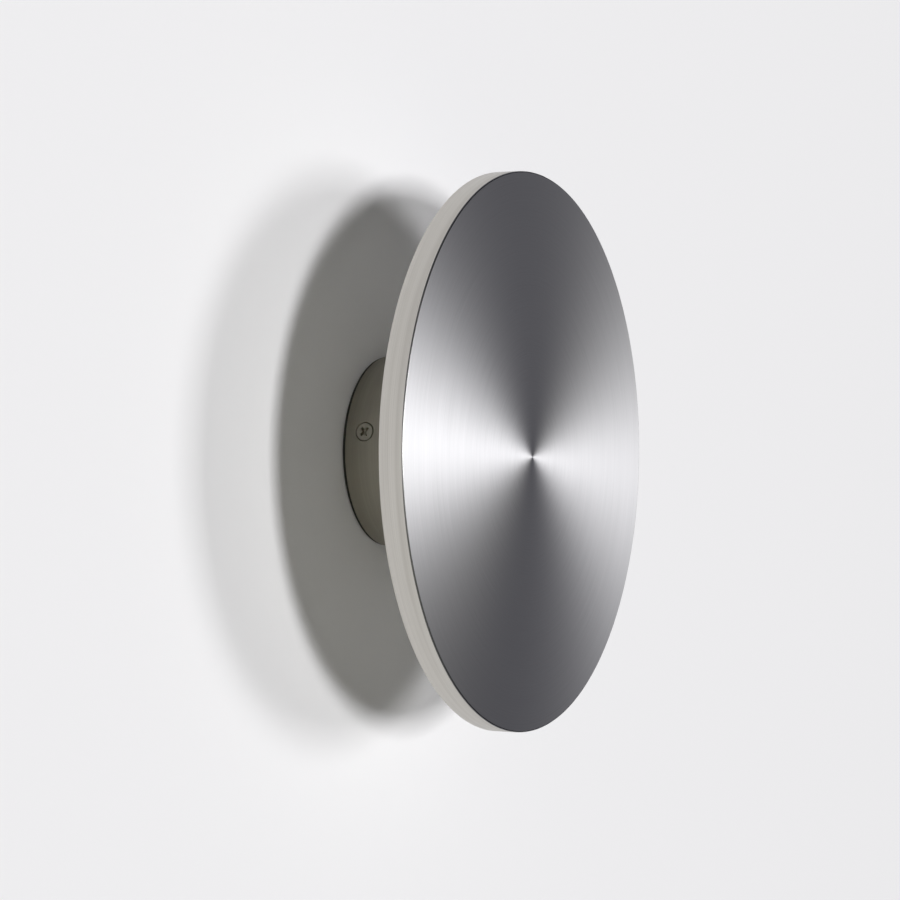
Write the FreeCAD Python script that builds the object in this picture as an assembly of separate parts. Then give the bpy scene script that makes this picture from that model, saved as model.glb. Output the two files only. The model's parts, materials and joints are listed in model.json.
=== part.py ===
"""Disc wall light: a turned metal disc that stands off the wall on a round hub and lights the wall behind it.

Frame: origin at the middle of the wall plate's back face, which lies on the wall. +Z is up, and the disc
faces -Y. "Depth" below is the distance out from the wall, so a depth of 10 is y = -10. Millimetres.
"""

import FreeCAD
import Part
import math
import os

V = FreeCAD.Vector
OUT = V(0, -1, 0)  # away from the wall
CENTRE = V(0, 0, 0)

# ---- Disc: a shallow pan, open towards the wall -------------------------------------------------
disc_radius = 125.0
disc_front_depth = 73.0
disc_rim_length = 11.2
disc_face_thickness = 2.0
disc_rim_thickness = 1.6
disc_edge_break = 0.6
disc_rear_edge_break = 0.3

# ---- Hub: a cup, open towards the wall ----------------------------------------------------------
hub_radius = 43.5
hub_wall = 2.6
hub_floor = 3.0
hub_edge_break = 0.4
gasket_thickness = 1.2
gasket_inset = 0.2

# ---- Wall plate and the two ears that the side screws clamp -------------------------------------
plate_gap = 0.9  # all round, to the inside of the hub
plate_thickness = 2.0
ear_width = 14.0
ear_thickness = 2.0
ear_depth = 22.0
wall_hole_spacing = 60.0
wall_hole_radius = 2.3
wall_slot_length = 9.0
cable_hole_radius = 11.0
grommet_bore_radius = 7.0
grommet_flange_radius = 13.5
grommet_flange_thickness = 2.0
plate_earth_at = 19.0

# ---- Side screws: M4, countersunk, cross recess -------------------------------------------------
side_screw_depth = 10.5
side_screw_turn = 12.0  # degrees above level on the left, as the light hangs in the photograph
side_screw_radius = 2.0
side_screw_head_radius = 3.9
side_screw_head_rim = 0.25
side_screw_sink = 0.3
side_screw_length = 9.6
countersink_rim_radius = 4.15
recess_turn = 45.0
recess_span = 4.4
recess_slot = 0.9
recess_depth = 1.25
recess_core_radius = 1.15
recess_core_depth = 1.9

# ---- Clamp blocks, one inside the hub behind each side screw ------------------------------------
clamp_thickness = 2.0
clamp_rear_depth = 4.0
clamp_foot_gap = 2.0
clamp_foot_length = 9.0

# ---- Light engine -------------------------------------------------------------------------------
pad_thickness = 0.5
board_thickness = 1.6
board_edge_gap = 0.7
chip_length = 3.5
chip_width = 2.8
chip_height = 0.8
outer_chip_inset = 14.9  # from the board's edge
outer_chip_count = 36
inner_chip_gap = 5.1  # to the connector
inner_chip_count = 18
spacer_width = 4.2
outer_spacer_width = 1.5
diffuser_thickness = 2.0
snap_ring_thickness = 0.8
snap_ring_width = 2.0
snap_ring_bite = 0.5
snap_ring_opening = 8.0  # degrees left open at the bottom
snap_eye_radius = 2.2
snap_eye_hole_radius = 0.9
rim_lip = 0.8
diffuser_screw_count = 3
diffuser_screw_radius = 1.1
diffuser_screw_head_radius = 2.0
diffuser_screw_head_height = 1.1
diffuser_screw_grip = 5.0
connector_length = 6.0
connector_width = 9.0
connector_height = 3.2
connector_from_hub = 8.0

# ---- Disc to hub: welded studs, washers and nuts ------------------------------------------------
stud_wall_gap = 2.4  # from the washers to the inside of the hub
stud_radius = 2.0
stud_length = 10.5
stud_first_angle = 45.0
washer_radius = 4.5
washer_thickness = 0.8
nut_across_flats = 7.0
nut_height = 3.2
thread_gap = 0.05

# ---- Driver ---------------------------------------------------------------------------------------
driver_length = 50.0
driver_width = 29.0
driver_height = 20.0
driver_wall = 1.5
driver_lid_lip = 2.0
driver_ear_length = 8.0
driver_ear_width = 11.0
driver_ear_thickness = 2.0
driver_corner = 3.0
driver_board_lift = 3.0
driver_foot_from_end = 7.0
driver_foot_from_side = 8.5
transformer_length = 15.0
transformer_width = 14.0
transformer_height = 9.0
winding_radius = 6.0
winding_height = 1.0
capacitor_radius = 4.0
capacitor_length = 15.0
capacitor_from_end = 4.0

# ---- Terminal block, cable clamp and earth --------------------------------------------------------
terminal_pitch = 10.0
terminal_poles = 3
terminal_width = 11.0
terminal_height = 15.0
terminal_gap = 5.5  # from the driver to the terminals
terminal_screw_radius = 1.3
terminal_screw_head_radius = 1.9
terminal_groove_depth = 3.75
wire_hole_radius = 1.3
wire_from_floor = 8.25
cable_clamp_length = 30.0
cable_clamp_width = 8.0
cable_clamp_height = 9.0
cable_clamp_gap = 3.0  # from the driver to the clamp
cable_channel_radius = 4.2
cable_channel_sink = 2.5  # from the hub's floor to the channel's axis
cable_clamp_shoulder = 5.7
cable_clamp_screw_at = 10.5
earth_wall_gap = 6.9  # from the earth screw's axis to the inside of the hub
earth_tag_radius = 3.9
earth_tag_thickness = 0.8
earth_barrel_wall = 0.5
earth_barrel_start = 4.5
earth_barrel_length = 5.0

# ---- Leads ------------------------------------------------------------------------------------------
lead_radius = 0.9
lead_strip = 1.0  # how far a lead's end goes into the terminal block
lead_run = 4.5
lead_corner = 3.5
lead_side_gap = 5.5  # from the driver's end to the first mains lead
lead_row_gap = 2.5
lead_row_drop = 3.5
mains_entry = 4.0  # each side of the middle, into the driver
earth_route_gap = 6.0  # from the earth lead to the inside of the hub
earth_lead_lift = 5.5
earth_route_angles = (30.0, 3.0, -25.0, -50.0)
earth_lead_end_run = 10.0
led_lead_radius = 0.8
led_lead_spread = 3.2
led_lead_offset = 9.2  # above the middle, clear of the driver's fixing ear

# ---- Clearances and small screws ----------------------------------------------------------------
running_gap = 0.3
seat_gap = 0.12
slip_gap = 0.1
m4_head_radius = 3.4
m4_head_height = 2.4
m3_radius = 1.5
m3_head_radius = 2.8
m3_head_height = 1.9
slot_width = 0.8
slot_share = 0.45  # of a screw head's height
head_rounding = 0.35  # of a screw head's height

# ---- Worked out from the sizes above --------------------------------------------------------------
face_inner_depth = disc_front_depth - disc_face_thickness
rim_rear_depth = disc_front_depth - disc_rim_length
rim_inner_radius = disc_radius - disc_rim_thickness
hub_inner_radius = hub_radius - hub_wall
hub_floor_depth = face_inner_depth - hub_floor
snap_ring_rear = rim_rear_depth + rim_lip
diffuser_rear = snap_ring_rear + snap_ring_thickness
diffuser_front = diffuser_rear + diffuser_thickness
board_front = face_inner_depth - pad_thickness
board_rear = board_front - board_thickness
inner_spacer_radius = hub_radius + running_gap + spacer_width
outer_spacer_radius = rim_inner_radius - running_gap
board_inner_radius = inner_spacer_radius + board_edge_gap
board_outer_radius = outer_spacer_radius - outer_spacer_width - board_edge_gap
outer_chip_circle = board_outer_radius - outer_chip_inset
inner_chip_circle = hub_radius + connector_from_hub + connector_length + inner_chip_gap + chip_width / 2
plate_radius = hub_inner_radius - plate_gap
stud_circle_radius = hub_inner_radius - washer_radius - stud_wall_gap
ear_half = ear_width / 2
ear_outer = math.sqrt(hub_inner_radius**2 - ear_half**2) - running_gap
ear_inner = ear_outer - ear_thickness
clamp_outer = ear_inner - running_gap
clamp_inner = clamp_outer - clamp_thickness
side_screw_top = hub_radius - side_screw_sink
driver_rear = hub_floor_depth - driver_height
driver_board_rear = hub_floor_depth - driver_wall - driver_board_lift - board_thickness
terminal_near = driver_width / 2 + terminal_gap
terminal_far = terminal_near + terminal_width
terminal_rear = hub_floor_depth - terminal_height
terminal_half = terminal_pitch * terminal_poles / 2
wire_depth = hub_floor_depth - wire_from_floor
cable_clamp_at = -(driver_width / 2 + cable_clamp_gap + cable_clamp_width / 2)
earth_at = -(hub_inner_radius - earth_wall_gap)
led_exit_depth = hub_floor_depth - led_lead_radius - running_gap
earth_lead_end_depth = hub_floor_depth - earth_tag_thickness - lead_radius - slip_gap - running_gap
diffuser_screw_circle = hub_radius + running_gap + spacer_width / 2


def disc_piece(radius, near, far):
    """A round slab between two depths, about the light's own axis."""
    return Part.makeCylinder(radius, far - near, V(0, -near, 0), OUT)


def ring(outer, inner, near, far):
    """A flat ring between two depths."""
    return disc_piece(outer, near, far).cut(disc_piece(inner, near, far))


def post(radius, x, z, near, far):
    """A round post at (x, z) between two depths."""
    return Part.makeCylinder(radius, far - near, V(x, -near, z), OUT)


def block(x0, x1, near, far, z0, z1):
    """A box between two depths."""
    return Part.makeBox(x1 - x0, far - near, z1 - z0, V(x0, -far, z0))


def radial(radius, near, far, depth, far_radius=None):
    """A round bar or cone on the -X side, lying along X at the given depth, from x = -near to x = -far."""
    base, along = V(-near, -depth, 0), V(-1, 0, 0)
    if far_radius is None:
        return Part.makeCylinder(radius, far - near, base, along)
    return Part.makeCone(radius, far_radius, far - near, base, along)


def turned(shape, degrees):
    """The shape turned about the light's own axis; a positive turn lifts what is on the left."""
    copy = shape.copy()
    copy.rotate(CENTRE, V(0, 1, 0), degrees)
    return copy


def around(count, radius, first=0.0):
    """Places on a circle about the axis, as (x, z, degrees)."""
    step = 360.0 / count
    angles = [first + step * i for i in range(count)]
    return [(radius * math.cos(math.radians(a)), radius * math.sin(math.radians(a)), a) for a in angles]


def fuse(*shapes):
    return shapes[0].multiFuse(list(shapes[1:])).removeSplitter()


def screw(x, z, seat, tip, radius, head_radius, head_height):
    """A slotted pan-head screw at (x, z): its head stands on the wall side of the seat, its tip is deeper."""
    top = seat - head_height
    head = post(head_radius, x, z, top, seat)
    rim = [e for e in head.Edges if abs(e.BoundBox.YMax + top) < 1e-6 and abs(e.BoundBox.YMin + top) < 1e-6]
    head = head.makeFillet(head_height * head_rounding, rim)
    slot = block(x - head_radius, x + head_radius, top, top + head_height * slot_share,
                 z - slot_width / 2, z + slot_width / 2)
    return fuse(head, post(radius, x, z, seat, tip)).cut(slot)


def lead(points, radius):
    """A round lead along straight runs joined by arcs, each arc as large as its two runs allow."""
    corners = [V(x, -depth, z) for x, z, depth in points]
    edges, start = [], corners[0]
    for before, corner, after in zip(corners, corners[1:], corners[2:]):
        to_before, to_after = before - corner, after - corner
        reach = 0.45 * min(to_before.Length, to_after.Length)
        first = corner + to_before.normalize() * reach
        last = corner + to_after.normalize() * reach
        half_turn = (math.pi - to_before.getAngle(to_after)) / 2
        bisector = (to_before + to_after).normalize()
        arc_radius = reach / math.tan(half_turn)
        middle = corner + bisector * (arc_radius / math.cos(half_turn) - arc_radius)
        edges.append(Part.makeLine(start, first))
        edges.append(Part.Arc(first, middle, last).toShape())
        start = last
    edges.append(Part.makeLine(start, corners[-1]))
    path = Part.Wire(edges)
    section = Part.Wire([Part.makeCircle(radius, corners[0], corners[1] - corners[0])])
    return path.makePipeShell([section], True, False)


# ---- Disc and what it holds -----------------------------------------------------------------------
def front_disc():
    solid = disc_piece(disc_radius, rim_rear_depth, disc_front_depth)
    front_edge = [e for e in solid.Edges if abs(e.BoundBox.YMax + disc_front_depth) < 1e-6]
    solid = solid.makeFillet(disc_edge_break, front_edge)
    rear_edge = [e for e in solid.Edges if abs(e.BoundBox.YMin + rim_rear_depth) < 1e-6]
    solid = solid.makeChamfer(disc_rear_edge_break, rear_edge)
    solid = solid.cut(disc_piece(rim_inner_radius, rim_rear_depth, face_inner_depth))
    groove = disc_piece(rim_inner_radius + snap_ring_bite + slip_gap, snap_ring_rear, diffuser_rear)
    return solid.cut(groove)


def weld_studs():
    places = around(4, stud_circle_radius, stud_first_angle)
    tip = face_inner_depth - stud_length
    return Part.makeCompound([post(stud_radius, x, z, tip, face_inner_depth) for x, z, _ in places])


def hub_washers():
    near = hub_floor_depth - washer_thickness
    places = around(4, stud_circle_radius, stud_first_angle)
    bore = stud_radius + slip_gap
    return Part.makeCompound([
        post(washer_radius, x, z, near, hub_floor_depth).cut(post(bore, x, z, near, hub_floor_depth))
        for x, z, _ in places
    ])


def hub_nuts():
    far = hub_floor_depth - washer_thickness
    near = far - nut_height
    corner = nut_across_flats / 2 / math.cos(math.radians(30))
    nuts = []
    for x, z, angle in around(4, stud_circle_radius, stud_first_angle):
        turns = [math.radians(angle + 60 * k) for k in range(7)]
        outline = [V(x + corner * math.cos(t), -near, z + corner * math.sin(t)) for t in turns]
        hexagon = Part.Face(Part.makePolygon(outline)).extrude(V(0, near - far, 0))
        nuts.append(hexagon.cut(post(stud_radius + thread_gap, x, z, near, far)))
    return Part.makeCompound(nuts)


def thermal_pad():
    return ring(board_outer_radius, board_inner_radius, board_front, face_inner_depth)


def led_board():
    return ring(board_outer_radius, board_inner_radius, board_rear, board_front)


def led_chips(circle, count):
    near = board_rear - chip_height
    chip = block(circle - chip_width / 2, circle + chip_width / 2, near, board_rear,
                 -chip_length / 2, chip_length / 2)
    return Part.makeCompound([turned(chip, 360.0 * (i + 0.5) / count) for i in range(count)])


def led_lead_z(side):
    return led_lead_offset + side * led_lead_spread / 2


def led_lead_hole(side, start, length):
    return Part.makeCylinder(led_lead_radius + slip_gap, length, V(start, -led_exit_depth, led_lead_z(side)),
                             V(1, 0, 0))


def led_connector():
    x0 = hub_radius + connector_from_hub
    half = connector_width / 2
    body = block(x0, x0 + connector_length, board_rear - connector_height, board_rear,
                 led_lead_offset - half, led_lead_offset + half)
    for side in (-1, 1):
        body = body.cut(led_lead_hole(side, x0, connector_length / 2))
    return body


def inner_spacer():
    body = ring(inner_spacer_radius, hub_radius + running_gap, diffuser_front, face_inner_depth)
    half = led_lead_spread / 2 + led_lead_radius + running_gap
    notch_far = led_exit_depth + led_lead_radius + running_gap
    body = body.cut(block(0, inner_spacer_radius + 1, diffuser_front, notch_far,
                          led_lead_offset - half, led_lead_offset + half))
    for x, z, _ in around(diffuser_screw_count, diffuser_screw_circle, 90.0):
        body = body.cut(post(diffuser_screw_radius + thread_gap, x, z, diffuser_front,
                             diffuser_front + diffuser_screw_grip))
    return body


def outer_spacer():
    inner = outer_spacer_radius - outer_spacer_width
    return ring(outer_spacer_radius, inner, diffuser_front, face_inner_depth)


def diffuser():
    body = ring(outer_spacer_radius, hub_radius + running_gap, diffuser_rear, diffuser_front)
    for x, z, _ in around(diffuser_screw_count, diffuser_screw_circle, 90.0):
        body = body.cut(post(diffuser_screw_radius + slip_gap, x, z, diffuser_rear, diffuser_front))
    return body


def diffuser_screws():
    tip = diffuser_front + diffuser_screw_grip - running_gap
    return Part.makeCompound([
        screw(x, z, diffuser_rear, tip, diffuser_screw_radius, diffuser_screw_head_radius,
              diffuser_screw_head_height)
        for x, z, _ in around(diffuser_screw_count, diffuser_screw_circle, 90.0)
    ])


def snap_ring():
    outer = rim_inner_radius + snap_ring_bite
    inner = outer - snap_ring_width
    body = ring(outer, inner, snap_ring_rear, diffuser_rear)
    half_gap = outer * math.sin(math.radians(snap_ring_opening / 2))
    body = body.cut(block(-half_gap, half_gap, snap_ring_rear, diffuser_rear, -disc_radius, 0))
    reach = math.radians(-90 + snap_ring_opening / 2) + snap_eye_radius / outer
    eye_circle = inner - snap_eye_radius / 2
    for side in (-1, 1):
        x, z = side * eye_circle * math.cos(reach), eye_circle * math.sin(reach)
        eye = post(snap_eye_radius, x, z, snap_ring_rear, diffuser_rear)
        eye = eye.common(disc_piece(outer, snap_ring_rear, diffuser_rear))
        body = body.fuse(eye).cut(post(snap_eye_hole_radius, x, z, snap_ring_rear, diffuser_rear))
    return body.removeSplitter()


# ---- Hub ------------------------------------------------------------------------------------------
def hub_shell():
    body = disc_piece(hub_radius, gasket_thickness, face_inner_depth)
    rear = [e for e in body.Edges if abs(e.BoundBox.YMin + gasket_thickness) < 1e-6]
    body = body.makeFillet(hub_edge_break, rear)
    body = body.cut(disc_piece(hub_inner_radius, gasket_thickness, hub_floor_depth))
    for x, z, _ in around(4, stud_circle_radius, stud_first_angle):
        body = body.cut(post(stud_radius + slip_gap, x, z, hub_floor_depth, face_inner_depth))
    m4_hole, m3_hole = side_screw_radius + thread_gap, m3_radius + thread_gap
    driver_hole = driver_length / 2 + driver_ear_length / 2
    for x, z, radius in [(driver_hole, 0, m3_hole), (-driver_hole, 0, m3_hole), (0, earth_at, m4_hole),
                         (cable_clamp_screw_at, cable_clamp_at, m3_hole),
                         (-cable_clamp_screw_at, cable_clamp_at, m3_hole)]:
        body = body.cut(post(radius, x, z, hub_floor_depth, face_inner_depth))
    body = body.cut(lead_plug_block(hub_radius + 1))
    for turn in (side_screw_turn, side_screw_turn + 180):
        body = body.cut(turned(countersunk_hole(), turn))
    return body


def countersunk_hole():
    """Seat of a side screw in the hub wall: a cone that follows the screw's head, and a short rim."""
    cone_end = side_screw_top - side_screw_head_rim
    narrow = side_screw_radius + running_gap
    wide = side_screw_head_radius + seat_gap
    cone_start = cone_end - (wide - narrow)
    hole = radial(narrow, hub_inner_radius - hub_wall, cone_start, side_screw_depth)
    cone = radial(narrow, cone_start, cone_end, side_screw_depth, wide)
    rim = radial(wide, cone_end, hub_radius + 1, side_screw_depth, countersink_rim_radius)
    return fuse(hole, cone, rim)


def hub_gasket():
    return ring(hub_radius - gasket_inset, hub_inner_radius + gasket_inset, 0, gasket_thickness)


def clamp_block():
    """Holds a side screw's thread. Its foot is welded inside the hub, and the ear slides in beside its leg."""
    foot_rear = ear_depth + clamp_foot_gap
    foot_front = foot_rear + clamp_foot_length
    leg = block(-clamp_outer, -clamp_inner, clamp_rear_depth, foot_front, -ear_half, ear_half)
    foot = block(-hub_radius, -clamp_inner, foot_rear, foot_front, -ear_half, ear_half)
    foot = foot.common(disc_piece(hub_inner_radius, foot_rear, foot_front))
    thread = radial(side_screw_radius + thread_gap, 0, hub_inner_radius, side_screw_depth)
    return turned(fuse(leg, foot).cut(thread), side_screw_turn)


def side_screw():
    top, cone_start = side_screw_top, side_screw_top - side_screw_head_rim
    neck = cone_start - (side_screw_head_radius - side_screw_radius)
    body = fuse(
        radial(side_screw_radius, top - side_screw_length, neck, side_screw_depth),
        radial(side_screw_radius, neck, cone_start, side_screw_depth, side_screw_head_radius),
        radial(side_screw_head_radius, cone_start, top, side_screw_depth),
    )
    middle = V(-top, -side_screw_depth, 0)
    for turn in (recess_turn, recess_turn + 90):
        slot = Part.makeBox(recess_depth, recess_slot, recess_span,
                            middle - V(0, recess_slot / 2, recess_span / 2))
        slot.rotate(middle, V(1, 0, 0), turn)
        body = body.cut(slot)
    core = Part.makeCone(recess_core_radius, recess_slot / 2, recess_core_depth, middle, V(1, 0, 0))
    return turned(body.cut(core), side_screw_turn)


# ---- Wall plate -----------------------------------------------------------------------------------
def wall_plate():
    plate = disc_piece(plate_radius, 0, plate_thickness)
    ear = block(-ear_outer, -ear_inner, 0, ear_depth, -ear_half, ear_half)
    slot_radius = side_screw_radius + running_gap
    slot = radial(slot_radius, 0, hub_radius, side_screw_depth)
    mouth = block(-hub_radius, 0, side_screw_depth, ear_depth + 1, -slot_radius, slot_radius)
    ear = ear.cut(fuse(slot, mouth))
    plate = fuse(plate, turned(ear, side_screw_turn), turned(ear, side_screw_turn + 180))
    plate = plate.cut(disc_piece(cable_hole_radius, 0, plate_thickness))
    half = wall_slot_length / 2 - wall_hole_radius
    for z in (wall_hole_spacing / 2, -wall_hole_spacing / 2):
        hole = fuse(
            post(wall_hole_radius, 0, z - half, 0, plate_thickness),
            post(wall_hole_radius, 0, z + half, 0, plate_thickness),
            block(-wall_hole_radius, wall_hole_radius, 0, plate_thickness, z - half, z + half),
        )
        plate = plate.cut(hole)
    thread = side_screw_radius + thread_gap
    return plate.cut(post(thread, plate_earth_at, -plate_earth_at, 0, plate_thickness))


def entry_grommet():
    flange_far = plate_thickness + grommet_flange_thickness
    body = fuse(
        disc_piece(cable_hole_radius, 0, plate_thickness),
        disc_piece(grommet_flange_radius, plate_thickness, flange_far),
    )
    return body.cut(disc_piece(grommet_bore_radius, 0, flange_far))


def plate_earth_screw():
    """Its head is on the room side of the plate, so it is the pan-head screw turned to face the room."""
    x, z, seat = plate_earth_at, -plate_earth_at, plate_thickness
    body = screw(x, z, -seat, 0, side_screw_radius, m4_head_radius, m4_head_height)
    return body.mirror(CENTRE, V(0, 1, 0))


# ---- Driver ---------------------------------------------------------------------------------------
def driver_box(inset, near, far):
    half_l, half_w = driver_length / 2 - inset, driver_width / 2 - inset
    body = block(-half_l, half_l, near, far, -half_w, half_w)
    upright = [e for e in body.Edges if abs(e.BoundBox.YLength - (far - near)) < 1e-6]
    return body.makeFillet(max(driver_corner - inset, driver_corner / 5), upright)


def driver_wire_holes(shape):
    for side in (-1, 1):
        shape = shape.cut(Part.makeCylinder(lead_radius + slip_gap, driver_wall * 2,
                                            V(-driver_length / 2 - driver_wall / 2, -wire_depth,
                                              side * mains_entry), V(1, 0, 0)))
        shape = shape.cut(Part.makeCylinder(led_lead_radius + slip_gap, driver_wall * 2,
                                            V(driver_length / 2 + driver_wall / 2, -wire_depth,
                                              led_lead_z(side)), V(-1, 0, 0)))
    return shape


def driver_case():
    lid_front = driver_rear + driver_wall
    body = driver_box(0, lid_front, hub_floor_depth)
    body = body.cut(driver_box(driver_wall, lid_front, hub_floor_depth - driver_wall))
    near = hub_floor_depth - driver_ear_thickness
    half = driver_ear_width / 2
    for side in (-1, 1):
        inner, outer = side * driver_length / 2, side * (driver_length / 2 + driver_ear_length)
        body = body.fuse(block(min(inner, outer), max(inner, outer), near, hub_floor_depth, -half, half))
        body = body.cut(post(m3_radius + slip_gap, (inner + outer) / 2, 0, near, hub_floor_depth))
    return driver_wire_holes(body.removeSplitter())


def driver_lid():
    lid_front = driver_rear + driver_wall
    skirt = driver_wall + slip_gap
    lip = driver_box(skirt, lid_front, lid_front + driver_lid_lip)
    lip = lip.cut(driver_box(skirt + driver_wall, lid_front, lid_front + driver_lid_lip))
    return fuse(driver_box(0, driver_rear, lid_front), lip)


def driver_board():
    far = hub_floor_depth - driver_wall - driver_board_lift
    inset = driver_wall + running_gap
    plate = driver_box(inset, far - board_thickness, far)
    foot_x = driver_length / 2 - driver_foot_from_end
    foot_z = driver_width / 2 - driver_foot_from_side
    feet = [post(m3_radius, x, z, far, hub_floor_depth - driver_wall)
            for x in (-foot_x, foot_x) for z in (-foot_z, foot_z)]
    return fuse(plate, *feet)


def driver_transformer():
    half_l, half_w = transformer_length / 2, transformer_width / 2
    top = driver_board_rear - transformer_height
    core = block(-half_l, half_l, top, driver_board_rear, -half_w, half_w)
    return fuse(core, post(winding_radius, 0, 0, top - winding_height, top))


def driver_capacitor():
    """It lies on the board's wall side, across the driver's left-hand end."""
    x = -driver_length / 2 + capacitor_from_end + capacitor_radius
    start = V(x, capacitor_radius - driver_board_rear, -capacitor_length / 2)
    return Part.makeCylinder(capacitor_radius, capacitor_length, start, V(0, 0, 1))


def floor_screws(places, seat, radius, head_radius, head_height):
    tip = face_inner_depth - running_gap
    return Part.makeCompound([screw(x, z, seat, tip, radius, head_radius, head_height) for x, z in places])


def driver_screws():
    x = driver_length / 2 + driver_ear_length / 2
    seat = hub_floor_depth - driver_ear_thickness
    return floor_screws([(-x, 0), (x, 0)], seat, m3_radius, m3_head_radius, m3_head_height)


# ---- Terminal block, cable clamp and earth --------------------------------------------------------
def pole_places():
    first = -terminal_pitch * (terminal_poles - 1) / 2
    return [first + terminal_pitch * i for i in range(terminal_poles)]


def terminal_block():
    body = block(-terminal_half, terminal_half, terminal_rear, hub_floor_depth, terminal_near, terminal_far)
    middle = (terminal_near + terminal_far) / 2
    well = terminal_screw_head_radius + running_gap
    for x in pole_places():
        body = body.cut(post(well, x, middle, terminal_rear, wire_depth - wire_hole_radius))
        body = body.cut(Part.makeCylinder(wire_hole_radius, terminal_width,
                                          V(x, -wire_depth, terminal_near), V(0, 0, 1)))
    for x in pole_places()[:-1]:
        groove = x + terminal_pitch / 2
        body = body.cut(block(groove - slot_width / 2, groove + slot_width / 2, terminal_rear,
                              terminal_rear + terminal_groove_depth, terminal_near, terminal_far))
    return body


def terminal_screws():
    middle = (terminal_near + terminal_far) / 2
    seat = terminal_rear + terminal_screw_head_radius * 2
    tip = wire_depth - wire_hole_radius
    head = terminal_screw_head_radius
    return Part.makeCompound([
        screw(x, middle, seat, tip, terminal_screw_radius, head, head) for x in pole_places()
    ])


def cable_clamp():
    half_l, half_w = cable_clamp_length / 2, cable_clamp_width / 2
    near = hub_floor_depth - cable_clamp_height
    body = block(-half_l, half_l, near, hub_floor_depth, cable_clamp_at - half_w, cable_clamp_at + half_w)
    for side in (-1, 1):
        x0, x1 = sorted((side * cable_clamp_shoulder, side * half_l))
        body = body.cut(block(x0, x1, near, hub_floor_depth - cable_clamp_height / 2,
                              cable_clamp_at - half_w, cable_clamp_at + half_w))
        body = body.cut(post(m3_radius + slip_gap, side * cable_clamp_screw_at, cable_clamp_at,
                             near, hub_floor_depth))
    channel = Part.makeCylinder(cable_channel_radius, cable_clamp_width,
                                V(0, cable_channel_sink - hub_floor_depth, cable_clamp_at - half_w),
                                V(0, 0, 1))
    return body.cut(channel)


def cable_clamp_screws():
    seat = hub_floor_depth - cable_clamp_height / 2
    places = [(-cable_clamp_screw_at, cable_clamp_at), (cable_clamp_screw_at, cable_clamp_at)]
    return floor_screws(places, seat, m3_radius, m3_head_radius, m3_head_height)


def earth_tag():
    near = hub_floor_depth - earth_tag_thickness
    body = post(earth_tag_radius, 0, earth_at, near, hub_floor_depth)
    bore = lead_radius + slip_gap
    outer = bore + earth_barrel_wall
    start, along = V(earth_barrel_start, -earth_lead_end_depth, earth_at), V(1, 0, 0)
    barrel = Part.makeCylinder(outer, earth_barrel_length, start, along)
    tongue = block(0, earth_barrel_start + earth_barrel_length, near, hub_floor_depth,
                   earth_at - bore, earth_at + bore)
    body = fuse(body, tongue, barrel).cut(Part.makeCylinder(bore, earth_barrel_length, start, along))
    return body.cut(post(side_screw_radius + slip_gap, 0, earth_at, near, hub_floor_depth))


def earth_screw():
    seat = hub_floor_depth - earth_tag_thickness
    return floor_screws([(0, earth_at)], seat, side_screw_radius, m4_head_radius, m4_head_height)


# ---- Leads ----------------------------------------------------------------------------------------
def lead_plug_block(outer):
    """The opening in the hub wall that the two light-engine leads pass through."""
    half = led_lead_spread / 2 + led_lead_radius + running_gap * 2
    near = led_exit_depth - led_lead_radius - running_gap * 2
    return block(hub_inner_radius - hub_wall, outer, near, hub_floor_depth,
                 led_lead_offset - half, led_lead_offset + half)


def lead_plug():
    body = lead_plug_block(hub_radius).common(
        ring(hub_radius, hub_inner_radius - running_gap, 0, face_inner_depth))
    for side in (-1, 1):
        body = body.cut(led_lead_hole(side, 0, hub_radius))
    return body


def mains_lead(pole):
    """From the terminal block round to the driver's left-hand end. The second lead runs outside the first."""
    x = pole_places()[pole]
    gap_z = driver_width / 2 + terminal_gap / 2
    depth = wire_depth - pole * lead_row_drop
    side_x = -driver_length / 2 - lead_side_gap - pole * lead_row_gap
    entry_z = mains_entry * (1 - 2 * pole)
    return lead([
        (x, terminal_near + lead_strip, wire_depth),
        (x, gap_z, wire_depth),
        (x - lead_run, gap_z, depth),
        (side_x + lead_corner, gap_z - slip_gap, depth),
        (side_x, entry_z, wire_depth),
        (-driver_length / 2 + driver_wall, entry_z, wire_depth),
    ], lead_radius)


def earth_lead():
    """From the terminal block, round the driver's right-hand end, to the tag on the hub's floor."""
    x = pole_places()[-1]
    route = hub_inner_radius - earth_route_gap
    over = wire_depth - earth_lead_lift
    bends = [(route * math.cos(math.radians(a)), route * math.sin(math.radians(a)), over)
             for a in earth_route_angles]
    end = earth_barrel_start + lead_strip
    return lead([
        (x, terminal_near + lead_strip, wire_depth),
        (x, driver_width / 2 + terminal_gap / 2, wire_depth),
        *bends,
        (end + earth_lead_end_run, earth_at, earth_lead_end_depth),
        (end, earth_at, earth_lead_end_depth),
    ], lead_radius)


def led_lead(side):
    z = led_lead_z(side)
    x0 = driver_length / 2
    end = hub_radius + connector_from_hub + connector_length / 2 - running_gap
    return lead([
        (x0 - driver_wall, z, wire_depth),
        (x0 + lead_run, z, wire_depth),
        (x0 + lead_run + lead_corner, z, led_exit_depth),
        (end, z, led_exit_depth),
    ], led_lead_radius)


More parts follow.
